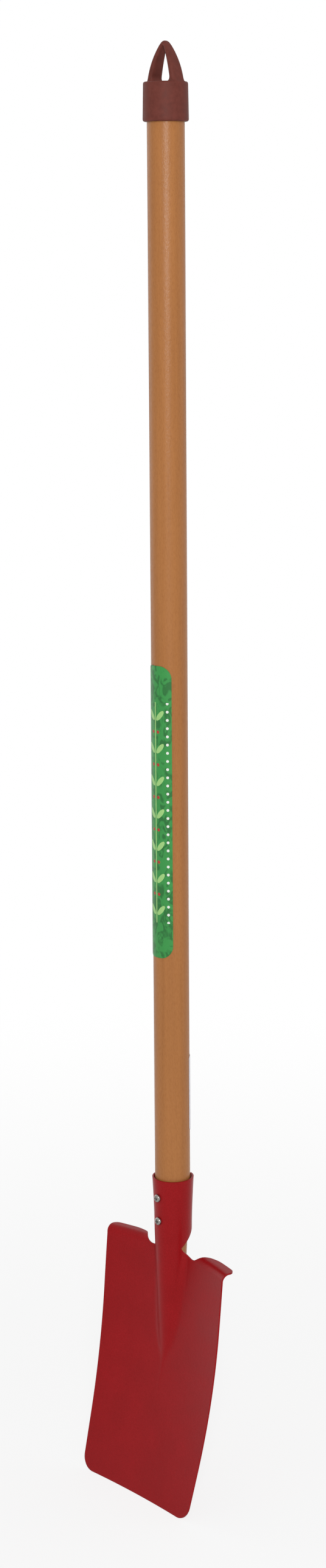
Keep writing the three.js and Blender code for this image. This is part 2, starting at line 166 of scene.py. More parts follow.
# Clearance, and the peg's seat in the loop, which is the frame's origin
FIT_GAP = 0.0003
SLEEVE_TOP = HANDLE_EXPOSED + CAP_SLEEVE_LENGTH
PEG_SEAT = SLEEVE_TOP + LOOP_HOLE_HEIGHT

# Fineness of the meshes
ROUND_SIDES = 96
RIDGE_STEPS = 20
FILLET_STEPS = 8
FLOOR_STEPS = 6
RAMP_STEPS = 10
PANEL_STEPS = 16
CORNER_STEPS = 12
WING_STEPS = 26
PANEL_ROWS = 84
SOCKET_ROWS = 30
BEND_ROWS = 12
FLANGE_ROWS = 4
LOOP_STEPS = 24
ARC_STEPS = 8
LABEL_STEPS = 24
EDGE_SEGMENTS = 3
WELD = 1e-6

# Angles past which edges are rounded, or stay sharp in the shading
EDGE_ANGLE = math.radians(50)
TURNED_SHARP = math.radians(35)
SHEET_SHARP = math.radians(45)
MOULDED_SHARP = math.radians(60)

# Camera: where the photograph was taken from, round the socket's rim
CAMERA_AZIMUTH = math.radians(49.099)
CAMERA_DISTANCE = 1.567046
CAMERA_HEIGHT = 0.579318
CAMERA_PITCH = math.radians(11.833)
CAMERA_YAW = math.radians(0.157)
CAMERA_ROLL = math.radians(-0.405)
CAMERA_FOCAL_PIXELS = 4329.257
IMAGE_LONG_SIDE = 2576
SENSOR = 36.0

# Studio lights, each with its place, its width and height, and its power in watts
LIGHTS = {
    "Key light": ((1.5, -1.25, 0.35), (0.25, 0.8), 22),
    "Left light": ((-1.7, -0.45, -0.2), (0.5, 1.6), 3),
    "Right light": ((1.1, 1.5, 0.1), (0.6, 1.6), 1.2),
}
WORLD_LEVEL = 0.5

# Floor, with the share of plain white in it near the spade and far from it
FLOOR_ROUGHNESS = 0.9
FLOOR_FADE = {"From Min": 0.1, "From Max": 1.1, "To Min": 0.8, "To Max": 1.0}

# Range that most of a noise texture lies in, and the sockets of a colour mix
NOISE_LOW = 0.3
NOISE_HIGH = 0.7
MIX_INPUTS = (0, 6, 7)
MIX_RESULT = 2


def metres(name, default, description):
    return FloatProperty(name=name, description=description, default=default, unit="LENGTH", precision=5)


def colour(name, default, description):
    return FloatVectorProperty(name=name, description=description, default=default, size=3, min=0, max=1,
                               subtype="COLOR")


class SpadeSizes(PropertyGroup):
    handle_diameter: metres("Handle diameter", 0.022, "Diameter of the wooden stick")
    sheet: metres("Sheet", 0.001, "Thickness of the blade's steel sheet")
    sheet_edge: metres("Sheet edge", 0.00028, "Rounding of the sheet's edges")
    loop_band: metres("Loop band", 0.0094, "Width of the hanging loop at its feet")
    head_diameter: metres("Screw head", 0.005, "Diameter of a screw's head")
    head_height: metres("Screw head height", 0.0015, "Height of a screw's head")
    label: metres("Label", 0.00025, "Thickness of the labels")
    floor: metres("Floor", 12.0, "Half the width of the floor")


class SpadeColours(PropertyGroup):
    wood_dark: colour("Dark grain", (0.358, 0.139, 0.0391), "Darker streaks of the varnished wood")
    wood_pale: colour("Pale grain", (0.444, 0.18, 0.0531), "Paler streaks of the varnished wood")
    enamel: colour("Enamel", (0.315, 0.0055, 0.0078), "Red coat of the blade")
    enamel_deep: colour("Deep enamel", (0.289, 0.0045, 0.0063), "Red coat where it lies thicker")
    cap: colour("Cap", (0.15, 0.038, 0.028), "Brown plastic of the end cap")
    cap_deep: colour("Deep cap", (0.118, 0.028, 0.02), "Darker mottle of the brown plastic")
    nickel: colour("Nickel", (0.34, 0.31, 0.29), "Plate of the screws")
    film: colour("Film", (0.034, 0.27, 0.056), "Ground of the front label")
    film_deep: colour("Deep film", (0.016, 0.15, 0.03), "Foliage tone of the front label")
    leaf: colour("Leaves", (0.33, 0.6, 0.2), "Leaves on the front label")
    berry: colour("Berry", (0.42, 0.03, 0.02), "Berries on the front label")
    blossom: colour("Blossom", (0.78, 0.8, 0.74), "Blossoms on the front label")
    sticker: colour("Sticker", (0.78, 0.77, 0.82), "Ground of the rear label")
    floor: colour("Floor", (0.86, 0.86, 0.86), "Floor under the spade")


# Meshes

def new_object(name, points, faces):
    mesh = bpy.data.meshes.new(name)
    mesh.from_pydata([tuple(p) for p in points], [], faces)
    mesh.validate()
    obj = bpy.data.objects.new(name, mesh)
    bpy.context.scene.collection.objects.link(obj)
    return obj


def in_frame(points):
    """Heights counted from the socket's rim, moved to the frame's origin."""
    return np.asarray(points, float) - np.array([0, 0, PEG_SEAT])


def tidy_shell(obj):
    """Welds a closed shell and points its faces outwards."""
    shell = bmesh.new()
    shell.from_mesh(obj.data)
    bmesh.ops.remove_doubles(shell, verts=shell.verts, dist=WELD)
    bmesh.ops.recalc_face_normals(shell, faces=shell.faces)
    shell.to_mesh(obj.data)
    shell.free()


def smooth(obj, angle):
    """Shades a piece smoothly, apart from edges sharper than the angle."""
    obj.data.polygons.foreach_set("use_smooth", [True] * len(obj.data.polygons))
    obj.data.set_sharp_from_angle(angle=angle)


def settle(obj):
    """Turns the modified object into a plain mesh."""
    graph = bpy.context.evaluated_depsgraph_get()
    mesh = bpy.data.meshes.new_from_object(obj.evaluated_get(graph))
    obj.modifiers.clear()
    obj.data = mesh


def dress(obj, finish, slot, *nodes):
    """Gives a finished piece its material, and has it stand for its CAD nodes."""
    obj.data.materials.clear()
    obj.data.materials.append(finish)
    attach(obj, "root")
    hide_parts(*nodes)


def steps(count):
    """Even shares from just above 0 up to 1."""
    return np.arange(1, count + 1) / count


def arc(centre_x, centre_y, radius, start, end, steps):
    angles = np.linspace(start, end, steps + 1)
    return [(centre_x + radius * math.cos(a), centre_y + radius * math.sin(a)) for a in angles]


def ring_faces(rings, sides):
    """Faces between rings of points that follow one another."""
    faces = []
    for ring in range(rings - 1):
        for side in range(sides):
            a = ring * sides + side
            b = ring * sides + (side + 1) % sides
            faces.append((a, b, b + sides, a + sides))
    return faces


def turned(profile, sides):
    """Points and faces of a solid turned about Z from pairs of radius and height."""
    points = []
    for radius, height in profile:
        for side in range(sides):
            angle = 2 * math.pi * side / sides
            points.append((radius * math.cos(angle), radius * math.sin(angle), height))
    return points, ring_faces(len(profile), sides)


def tube(rings):
    """Points and faces of a closed tube through rings of points."""
    sides = len(rings[0])
    points = [p for ring in rings for p in ring]
    faces = ring_faces(len(rings), sides)
    last = (len(rings) - 1) * sides
    faces.append(tuple(reversed(range(sides))))
    faces.append(tuple(range(last, last + sides)))
    return points, faces


def together(shells):
    """Points and faces of several shells in one mesh."""
    points = []
    faces = []
    for more_points, more_faces in shells:
        start = len(points)
        points.extend(more_points)
        faces.extend(tuple(start + v for v in face) for face in more_faces)
    return points, faces


def sheet(patches, thickness):
    """Points and faces of a bent sheet, from grids of points on its front, sewn where they meet."""
    points = []
    quads = []
    start = 0
    for patch in patches:
        rows, across = patch.shape[:2]
        index = start + np.arange(rows * across).reshape(rows, across)
        corners = [index[:-1, :-1], index[:-1, 1:], index[1:, 1:], index[1:, :-1]]
        quads.append(np.stack(corners, -1).reshape(-1, 4))
        points.append(patch.reshape(-1, 3))
        start += rows * across
    points = np.concatenate(points)
    keys = np.round(points / WELD).astype(np.int64)
    _, first, same = np.unique(keys, axis=0, return_index=True, return_inverse=True)
    front = points[first]
    faces = []
    for quad in same.reshape(-1)[np.concatenate(quads)]:
        ring = [int(v) for i, v in enumerate(quad) if v != quad[i - 1]]
        if len(ring) >= 3:
            faces.append(ring)
    triangles = np.array([(f[0], f[i], f[i + 1]) for f in faces for i in range(1, len(f) - 1)])
    a, b, c = (front[triangles[:, k]] for k in range(3))
    facing = np.cross(b - a, c - a)
    normals = np.zeros_like(front)
    for k in range(3):
        np.add.at(normals, triangles[:, k], facing)
    normals /= np.linalg.norm(normals, axis=1, keepdims=True)
    count = len(front)
    edges = {(f[i - 1], f[i]) for f in faces for i in range(len(f))}
    rim = sorted((b, a, a + count, b + count) for a, b in edges if (b, a) not in edges)
    backs = [[v + count for v in reversed(f)] for f in faces]
    return np.concatenate([front, front - normals * thickness]), faces + backs + rim


# Shape of the blade's front

def socket_radius(z):
    """Radius of the socket's outside, which tapers on down the hump."""
    waist = SOCKET_WAIST_DIAMETER / 2
    up = np.maximum(0, (z + SOCKET_FLARE) / SOCKET_FLARE)
    flared = waist + (SOCKET_RIM_DIAMETER / 2 - waist) * up ** SOCKET_FLARE_POWER
    return flared - HUMP_TAPER * np.maximum(0, -SOCKET_FLARE - z)


def way_down(z):
    """How far down the blade a height lies, from 0 at the shoulder to 1 at the tip."""
    return (SHOULDER - z) / BLADE_LENGTH


def half_width(z):
    """Half the blade's width, which narrows towards the tip."""
    return BLADE_TOP_WIDTH / 2 - (BLADE_TOP_WIDTH - BLADE_TIP_WIDTH) / 2 * np.maximum(0, way_down(z)) ** 2


def dish(z):
    """How far the blade's edges stand forward of its middle."""
    down = way_down(z)
    return DISH_TOP + (DISH_TIP - DISH_TOP) * down + 4 * DISH_BELLY * down * (1 - down)


def centre_y(z):
    """Y of the blade's middle line, without the hump."""
    down = SHOULDER - z
    curved = np.clip(down - CURVE_START, 0, CURVE_LENGTH)
    straight = np.maximum(0, down - CURVE_START - CURVE_LENGTH)
    gain = math.tan(LEAN_TIP) - math.tan(LEAN_TOP)
    bend = gain * (curved ** 2 / (2 * CURVE_LENGTH) + straight)
    return dish(z) - BLADE_FORWARD - down * math.tan(LEAN_TOP) - bend


def ridge_rise(z):
    """How far the hump's ridge stands forward of the blade's middle."""
    above = socket_radius(z) - (SOCKET_SET_BACK - centre_y(z))
    return (above + np.hypot(above, NOSE_SOFTNESS)) / 2


def fillet_radius(z):
    """Radius of the fillet at the hump's foot, which grows down the hump."""
    along = np.clip((-NECK_LENGTH - z) / HUMP_LENGTH, 0, 1)
    return HUMP_FILLET + (HUMP_NOSE_FILLET - HUMP_FILLET) * along


def hump_foot(z):
    """Distance from the middle line to where the fillet meets the blade."""
    rise = ridge_rise(z)
    return np.sqrt(rise * (2 * socket_radius(z) + 2 * fillet_radius(z) - rise))


def hump_angle(z):
    """Angle round the ridge at which the crest's arc meets the fillet's."""
    outer = socket_radius(z) + fillet_radius(z)
    return np.arccos((outer - ridge_rise(z)) / outer)


def hump_rise(x, z):
    """How far the hump stands forward of the blade."""
    radius = socket_radius(z)
    bend = fillet_radius(z)
    foot = hump_foot(z)
    across = np.abs(x)
    skirt = bend - np.sqrt(np.maximum(0, bend ** 2 - (foot - across) ** 2))
    crest = np.sqrt(np.maximum(0, radius ** 2 - across ** 2)) - (radius - ridge_rise(z))
    rise = np.where(across > radius * np.sin(hump_angle(z)), skirt, crest)
    return np.where(across >= foot, 0, rise)


def blade_points(x, z):
    bow = dish(z) * (x / (BLADE_TOP_WIDTH / 2)) ** 2
    return np.stack([x, centre_y(z) - hump_rise(x, z) - bow, z + 0 * x], -1)


NECK = -NECK_LENGTH
NECK_ANGLE = float(hump_angle(NECK))
NECK_RADIUS = float(socket_radius(NECK))
NECK_EDGE = NECK_RADIUS * math.sin(NECK_ANGLE)
HUMP_EDGE = float(hump_foot(NECK))
NOTCH_EDGE = HUMP_EDGE + NOTCH_FLOOR
TREAD_INNER = NOTCH_EDGE + TREAD_RAMP


def columns():
    """Columns across one half of the blade, as a fixed place plus a share of its half width."""
    fixed = np.concatenate([
        NECK_RADIUS * np.sin(NECK_ANGLE * np.linspace(0, 1, RIDGE_STEPS + 1)),
        HUMP_EDGE - HUMP_FILLET * np.sin(NECK_ANGLE * (1 - steps(FILLET_STEPS))),
        HUMP_EDGE + NOTCH_FLOOR * steps(FLOOR_STEPS),
        NOTCH_EDGE + TREAD_RAMP * steps(RAMP_STEPS),
    ])
    plain = steps(PANEL_STEPS)
    corner = steps(CORNER_STEPS)
    place = np.concatenate([
        fixed,
        TREAD_INNER * (1 - plain) - BLADE_CORNER * plain,
        BLADE_CORNER * (np.sin(math.pi / 2 * corner) - 1),
    ])
    follow = np.concatenate([0 * fixed, plain, 1 + 0 * corner])
    return place, follow


def corner_cut(x, edge, radius):
    into = np.maximum(0, x - (edge - radius))
    return radius - np.sqrt(np.maximum(0, radius ** 2 - into ** 2))


def ramp_share(x, ramp):
    """A soft S that rises from 0 at the notch to 1 at the end of the ramp."""
    along = np.clip((x - NOTCH_EDGE) / ramp, 0, 1)
    return along ** 2 * (3 - 2 * along)


def panel_top(x):
    inward = (NOTCH_EDGE - x) / (NOTCH_EDGE - NECK_EDGE)
    notch = NECK + (NOTCH - NECK) * np.sqrt(np.maximum(0, 1 - inward ** 2))
    beyond = np.where(x >= NOTCH_EDGE, NOTCH + (SHOULDER - NOTCH) * ramp_share(x, TREAD_RAMP), notch)
    return np.where(x <= NECK_EDGE + WELD, NECK, beyond)


def mirrored(patch):
    return patch[:, ::-1] * np.array([-1, 1, 1])


def whole(half):
    return np.concatenate([mirrored(half[:, 1:]), half], axis=1)


def panel_patch():
    place, follow = columns()
    tip = SHOULDER - BLADE_LENGTH
    low = tip + corner_cut(place + follow * half_width(tip), half_width(tip), BLADE_CORNER)
    top = panel_top(place + follow * half_width(SHOULDER))
    z = low + (top - low) * np.linspace(0, 1, PANEL_ROWS + 1)[:, None]
    return whole(blade_points(place + follow * half_width(z), z))


def tread_patch():
    """The tread runs up from the fold, round the bend and straight back to its outer edge."""
    edge = half_width(SHOULDER)
    place, follow = columns()
    x = place + follow * edge
    x = x[x >= NOTCH_EDGE - WELD]
    bend_length = TREAD_BEND_RADIUS * (math.pi / 2 - LEAN_TOP)
    flat_length = TREAD_DEPTH - TREAD_BEND_RADIUS * math.cos(LEAN_TOP)
    full = bend_length + flat_length
    bend_runs = bend_length * np.linspace(0, 1, BEND_ROWS + 1)
    run = np.concatenate([bend_runs, bend_length + flat_length * steps(FLANGE_ROWS)])[:, None]
    flat = flat_length * ramp_share(x, FLANGE_RAMP)
    reach = ramp_share(x, TREAD_RAMP) * (bend_length + flat - corner_cut(x, edge, TREAD_CORNER))
    along = run * reach / full
    angle = LEAN_TOP + np.minimum(along, bend_length) / TREAD_BEND_RADIUS
    back = TREAD_BEND_RADIUS * (math.cos(LEAN_TOP) - np.cos(angle)) + np.maximum(0, along - bend_length)
    rise = TREAD_BEND_RADIUS * (np.sin(angle) - math.sin(LEAN_TOP))
    fold = blade_points(x, panel_top(x))
    flare = TREAD_FLARE * np.maximum(0, x - TREAD_INNER) / (edge - TREAD_INNER)
    return np.stack([x + flare * run / full, fold[:, 1] + back, fold[:, 2] + rise], -1)


def socket_points(angle, z):
    radius = socket_radius(z)
    return np.stack([radius * np.sin(angle), SOCKET_SET_BACK - radius * np.cos(angle), z + 0 * angle], -1)


def socket_patch():
    """The socket's wall, easing from the blade's form at the neck to a true cone at the rim."""
    seam = math.pi - math.asin(SEAM_GAP / SOCKET_RIM_DIAMETER)
    ridge = NECK_ANGLE * np.linspace(0, 1, RIDGE_STEPS + 1)
    angle = np.concatenate([ridge, NECK_ANGLE + (seam - NECK_ANGLE) * steps(WING_STEPS)])
    past = np.maximum(0, angle - NECK_ANGLE) / WING_CUT
    low = NECK + (NECK_LENGTH - WING_LENGTH) * np.minimum(1, past)
    down = 1 - np.linspace(0, 1, SOCKET_ROWS + 1)[:, None]
    in_neck = np.minimum(angle, NECK_ANGLE)
    level = NECK + 0 * angle
    shift = blade_points(NECK_RADIUS * np.sin(in_neck), level) - socket_points(in_neck, level)
    ease = down ** 2 * np.maximum(0, 1 - past)
    return whole(socket_points(angle + 0 * down, low * down) + shift * ease[..., None])


def label_patch(wrap, length, above, corner, middle, radius):
    plain = (wrap / 2 - corner) * np.linspace(0, 1, LABEL_STEPS + 1)
    turn = wrap / 2 - corner + corner * np.sin(math.pi / 2 * steps(LABEL_STEPS))
    half = np.concatenate([plain, turn])
    across = np.concatenate([-half[:0:-1], half])
    cut = corner_cut(np.abs(across), wrap / 2, corner)
    up = np.linspace(0, 1, LABEL_STEPS + 1)[:, None]
    z = above + cut + (length - 2 * cut) * up
    angle = middle + across / radius + 0 * z
    return np.stack([radius * np.sin(angle), -radius * np.cos(angle), z], -1)


# Shape of the end cap

def sleeve(handle_radius):
    bore = handle_radius + FIT_GAP
    outer = bore + CAP_WALL
    top = outer - CAP_DRAFT
    quarter = math.pi / 2
    rim_height = HANDLE_EXPOSED + CAP_RIM_RADIUS
    profile = [(0, SLEEVE_TOP - CAP_TOP_THICKNESS), (bore, SLEEVE_TOP - CAP_TOP_THICKNESS)]
    profile += [(bore, HANDLE_EXPOSED)]
    profile += arc(outer - CAP_RIM_RADIUS, rim_height, CAP_RIM_RADIUS, -quarter, 0, ARC_STEPS)
    profile += arc(top - CAP_TOP_RADIUS, SLEEVE_TOP - CAP_TOP_RADIUS, CAP_TOP_RADIUS, 0, quarter, ARC_STEPS)
    profile += [(0, SLEEVE_TOP)]
    return turned(profile, ROUND_SIDES)


def curve_points(start, control, end, along):
    t = along[:, None]
    return (1 - t) ** 2 * start + 2 * t * (1 - t) * control + t ** 2 * end


def foot_share(z):
    down = np.clip(1 - z / LOOP_FOOT_HEIGHT, 0, 1)
    return 1 - np.sqrt(1 - down ** 2)


def arch(half_base, top, peak, bulge, foot_spread):
    """Points along one arch of the loop, from its right foot over the peak to its left foot."""
    peak_half, peak_height = peak
    knee = top - peak_height
    run = math.hypot(half_base - peak_half, knee)
    bulge_x = (half_base + peak_half) / 2 + bulge * knee / run
    bulge_z = knee / 2 + bulge * (half_base - peak_half) / run
    peak_x = peak_half - peak_height * (bulge_x - peak_half) / (knee - bulge_z)
    foot = np.array([[half_base, -CAP_TOP_THICKNESS / 2], [half_base, 0]])
    even = steps(LOOP_STEPS)
    leg = curve_points(foot[1], np.array([bulge_x, bulge_z]), np.array([peak_half, knee]), even ** 2)
    crown = curve_points(leg[-1], np.array([peak_x, top]), np.array([0, top]), even)
    right = np.concatenate([foot, leg, crown])
    right[:, 0] += foot_spread * foot_share(right[:, 1])
    return np.concatenate([right, right[-2::-1] * np.array([-1, 1])])


def band_section(leg_half, band_half):
    radius = min(LOOP_EDGE_RADIUS, leg_half)
    x, y = leg_half - radius, band_half - radius
    quarter = math.pi / 2
    corners = [(x, y), (-x, y), (-x, -y), (x, -y)]
    return [p for k, (cx, cy) in enumerate(corners)
            for p in arc(cx, cy, radius, k * quarter, (k + 1) * quarter, ARC_STEPS)]


def loop(band):
    half_hole = LOOP_HOLE_WIDTH / 2
    top = LOOP_HOLE_HEIGHT + LOOP_CROWN
    outer = arch(half_hole + LOOP_LEG, top, LOOP_PEAK, LOOP_BULGE, LOOP_FOOT_OUTSIDE)
    inner = arch(half_hole, LOOP_HOLE_HEIGHT, LOOP_HOLE_PEAK, LOOP_HOLE_BULGE, -LOOP_FOOT_INSIDE)
    rings = []
    for far, near in zip(outer, inner):
        middle = (far + near) / 2
        leg = far - near
        size = float(np.linalg.norm(leg))
        way = leg / size
        up = (max(0, middle[1]) / LOOP_HOLE_HEIGHT) ** LOOP_TAPER_POWER
        band_half = (band + (LOOP_CROWN_BAND - band) * up) / 2
        rings.append([(middle[0] + way[0] * q[0], q[1], SLEEVE_TOP + middle[1] + way[1] * q[0])
                      for q in band_section(size / 2, band_half)])
    return tube(rings)


# Materials

def start_finish(name):
    finish = bpy.data.materials.new(name)
    finish.use_nodes = True
    return finish, finish.node_tree, finish.node_tree.nodes["Principled BSDF"]


def add_node(tree, kind, inputs=None, **settings):
    node = tree.nodes.new(kind)
    for key, value in settings.items():
        setattr(node, key, value)
    for key, value in (inputs or {}).items():
        if hasattr(value, "is_output"):
            tree.links.new(value, node.inputs[key])
        else:
            node.inputs[key].default_value = value
    return node


def math_node(tree, operation, a, b=0.0):
    return add_node(tree, "ShaderNodeMath", {0: a, 1: b}, operation=operation).outputs[0]


def grain(tree, scale, stretch=(1, 1, 1), detail=4.0, roughness=0.55, distortion=0.0):
    """Noise on the piece's own coordinates, stretched along its axes."""
    place = add_node(tree, "ShaderNodeTexCoord").outputs["Object"]
    mapped = add_node(tree, "ShaderNodeMapping", {"Vector": place, "Scale": stretch})
    inputs = {"Vector": mapped.outputs[0], "Scale": scale, "Detail": detail,
              "Roughness": roughness, "Distortion": distortion}
    return add_node(tree, "ShaderNodeTexNoise", inputs).outputs["Fac"]


def ramp(tree, factor, stops):
    node = add_node(tree, "ShaderNodeValToRGB", {"Fac": factor})
    node.color_ramp.elements[0].position, low = stops[0]
    node.color_ramp.elements[1].position, high = stops[1]
    node.color_ramp.elements[0].color = (*low, 1)
    node.color_ramp.elements[1].color = (*high, 1)
    return node.outputs["Color"]


def spread(tree, factor, low, high):
    inputs = {"Value": factor, "From Min": NOISE_LOW, "From Max": NOISE_HIGH, "To Min": low, "To Max": high}
    return add_node(tree, "ShaderNodeMapRange", inputs).outputs[0]


def mix(tree, factor, a, b, blend="MIX"):
    node = add_node(tree, "ShaderNodeMix", data_type="RGBA", blend_type=blend)
    for index, value in zip(MIX_INPUTS, (factor, a, b)):
        socket = node.inputs[index]
        if hasattr(value, "is_output"):
            tree.links.new(value, socket)
        else:
            socket.default_value = (*value, 1) if hasattr(value, "__len__") else value
    return node.outputs[MIX_RESULT]


def shaded(tree, tone, shade, weight=1.0):
    """A tone multiplied by a shade."""
    return mix(tree, weight, tone, shade, "MULTIPLY")


def darker(tone, share):
    return tuple(share * channel for channel in tone)


def bump(tree, height, strength, distance, under=None):
    inputs = {"Height": height, "Strength": strength, "Distance": distance}
    if under:
        inputs["Normal"] = under
    return add_node(tree, "ShaderNodeBump", inputs).outputs[0]


def finish_surface(tree, shader, colour_out, roughness_out, normal_out, **constants):
    tree.links.new(colour_out, shader.inputs["Base Color"])
    tree.links.new(roughness_out, shader.inputs["Roughness"])
    tree.links.new(normal_out, shader.inputs["Normal"])
    for key, value in constants.items():
        shader.inputs[key.replace("_", " ")].default_value = value


def varnished_wood(colours):
    finish, tree, shader = start_finish("varnished_wood")
    streaks = grain(tree, 230, stretch=(1, 1, 0.03), detail=5, roughness=0.55, distortion=0.3)
    pores = grain(tree, 1500, stretch=(1, 1, 0.3), detail=3, roughness=0.6)
    broad = grain(tree, 22, stretch=(1, 1, 0.3), detail=3, roughness=0.5)
    tone = ramp(tree, streaks, [(0.22, colours.wood_dark), (0.78, colours.wood_pale)])
    pore_tone = ramp(tree, pores, [(0.3, (0.84, 0.79, 0.71)), (0.55, (1, 1, 1))])
    broad_tone = ramp(tree, broad, [(0.35, (0.95, 0.94, 0.92)), (0.65, (1, 1, 1))])
    toned = shaded(tree, tone, pore_tone, weight=0.6)
    toned = shaded(tree, toned, broad_tone)
    peel = grain(tree, 620, stretch=(1, 1, 0.7), detail=3, roughness=0.5)
    under = bump(tree, peel, strength=0.1, distance=0.0004)
    normal = bump(tree, pores, strength=0.12, distance=0.0002, under=under)
    rough = spread(tree, peel, low=0.4, high=0.54)
    ripple = grain(tree, 1150, stretch=(1, 1, 0.6), detail=3, roughness=0.6)
    rippled = bump(tree, ripple, strength=0.36, distance=0.0005)
    tree.links.new(rippled, shader.inputs["Coat Normal"])
    varnish = dict(Specular_IOR_Level=0.1, Coat_Weight=0.32, Coat_Roughness=0.26)
    finish_surface(tree, shader, toned, rough, normal, **varnish)
    return finish


def red_enamel(colours):
    finish, tree, shader = start_finish("red_enamel")
    cloud = grain(tree, 45, detail=4)
    dust = grain(tree, 1600, detail=3, roughness=0.6)
    speckle = ramp(tree, dust, [(0.3, (0.84, 0.78, 0.8)), (0.7, (1.1, 1.5, 1.5))])
    tone = ramp(tree, cloud, [(0.35, colours.enamel_deep), (0.65, colours.enamel)])
    tone = shaded(tree, tone, speckle)
    peel = grain(tree, 520, detail=2, roughness=0.45)
    under = bump(tree, peel, strength=0.14, distance=0.0004)
    normal = bump(tree, dust, strength=0.06, distance=0.0001, under=under)
    rough = spread(tree, cloud, low=0.3, high=0.4)
    finish_surface(tree, shader, tone, rough, normal, Specular_IOR_Level=0.12)
    return finish


def brown_plastic(colours):
    finish, tree, shader = start_finish("brown_plastic")
    mottle = grain(tree, 300, detail=5, roughness=0.6)
    tone = ramp(tree, mottle, [(0.35, colours.cap_deep), (0.65, colours.cap)])
    lines = grain(tree, 900, stretch=(0.08, 0.08, 1), detail=2, roughness=0.5)
    skin = grain(tree, 1700, detail=3)
    under = bump(tree, lines, strength=0.12, distance=0.0002)
    normal = bump(tree, skin, strength=0.12, distance=0.00015, under=under)
    rough = spread(tree, mottle, low=0.5, high=0.66)
    finish_surface(tree, shader, tone, rough, normal, Specular_IOR_Level=0.15)
    return finish


def nickel_plate(colours):
    finish, tree, shader = start_finish("nickel_plate")
    brushed = grain(tree, 1500, detail=4)
    tone = ramp(tree, brushed, [(0.3, darker(colours.nickel, 0.82)), (0.7, colours.nickel)])
    normal = bump(tree, brushed, strength=0.05, distance=0.00005)
    rough = spread(tree, brushed, low=0.2, high=0.36)
    finish_surface(tree, shader, tone, rough, normal, Metallic=1.0)
    return finish


def label_map(tree):
    """Distance from the label's middle line, and place along it, both in metres."""
    uv = add_node(tree, "ShaderNodeTexCoord").outputs["UV"]
    split = add_node(tree, "ShaderNodeSeparateXYZ", {0: uv})
    side = math_node(tree, "ABSOLUTE", math_node(tree, "SUBTRACT", split.outputs[0], 0.5))
    across = math_node(tree, "MULTIPLY", side, FRONT_LABEL["wrap"])
    along = math_node(tree, "MULTIPLY", split.outputs[1], FRONT_LABEL["length"])
    return across, along


def row_place(tree, along, spacing, start=0.0):
    """Place along one row of a motif that repeats, counted from the row's middle."""
    offset = math_node(tree, "SUBTRACT", along, start)
    rows = math_node(tree, "FRACT", math_node(tree, "DIVIDE", offset, spacing))
    return math_node(tree, "MULTIPLY", math_node(tree, "SUBTRACT", rows, 0.5), spacing)


def oval_mask(tree, across, along, centre, half_sizes, lean=0.0):
    """One leaning oval whose middle lies off the label's middle line."""
    out = math_node(tree, "SUBTRACT", across, centre)
    lean_cos, lean_sin = math.cos(lean), math.sin(lean)
    narrow = math_node(tree, "SUBTRACT", math_node(tree, "MULTIPLY", out, lean_cos),
                       math_node(tree, "MULTIPLY", along, lean_sin))
    tall = math_node(tree, "ADD", math_node(tree, "MULTIPLY", out, lean_sin),
                     math_node(tree, "MULTIPLY", along, lean_cos))
    narrow = math_node(tree, "POWER", math_node(tree, "DIVIDE", narrow, half_sizes[0]), 2.0)
    tall = math_node(tree, "POWER", math_node(tree, "DIVIDE", tall, half_sizes[1]), 2.0)
    return math_node(tree, "LESS_THAN", math_node(tree, "ADD", narrow, tall), 1.0)


def sprig_masks(tree):
    """Leaves on a stem, berries between them and two lines of small blossoms."""
    across, along = label_map(tree)
    spacing = FRONT_LABEL["length"] / LEAF_ROWS
    leaf_row = row_place(tree, along, spacing)
    berry_row = row_place(tree, along, spacing, spacing / 2)
    blossom_row = row_place(tree, along, spacing / BLOSSOMS_PER_LEAF)
    middle = math_node(tree, "ABSOLUTE", math_node(tree, "SUBTRACT", along, FRONT_LABEL["length"] / 2))
    inside = math_node(tree, "LESS_THAN", middle, FRONT_LABEL["length"] / 2 - spacing - SPRIG_MARGIN)
    stem = math_node(tree, "LESS_THAN", across, STEM_HALF_WIDTH)
    leaf = math_node(tree, "MAXIMUM", oval_mask(tree, across, leaf_row, *LEAF), stem)
    berry = oval_mask(tree, across, berry_row, *BERRY)
    blossom = oval_mask(tree, across, blossom_row, *BLOSSOM)
    return [math_node(tree, "MULTIPLY", mask, inside) for mask in (leaf, berry, blossom)]


def green_film(colours):
    finish, tree, shader = start_finish("green_film")
    print_noise = grain(tree, 900, detail=4)
    foliage = grain(tree, 190, stretch=(1, 1, 0.6), detail=2, roughness=0.45, distortion=1.6)
    tone = ramp(tree, foliage, [(0.4, colours.film_deep), (0.52, colours.film)])
    for mask, motif in zip(sprig_masks(tree), (colours.leaf, colours.berry, colours.blossom)):
        tone = mix(tree, mask, tone, tuple(motif))
    normal = bump(tree, print_noise, strength=0.08, distance=0.0002)
    rough = spread(tree, print_noise, low=0.34, high=0.46)
    finish_surface(tree, shader, tone, rough, normal, Specular_IOR_Level=0.35)
    return finish


def white_film(colours):
    finish, tree, shader = start_finish("white_film")
    fibre = grain(tree, 800, detail=5)
    tone = ramp(tree, fibre, [(0.3, darker(colours.sticker, 0.92)), (0.7, colours.sticker)])
    normal = bump(tree, fibre, strength=0.08, distance=0.0001)
    rough = spread(tree, fibre, low=0.42, high=0.55)
    finish_surface(tree, shader, tone, rough, normal, Specular_IOR_Level=0.35)
    return finish


# Operators

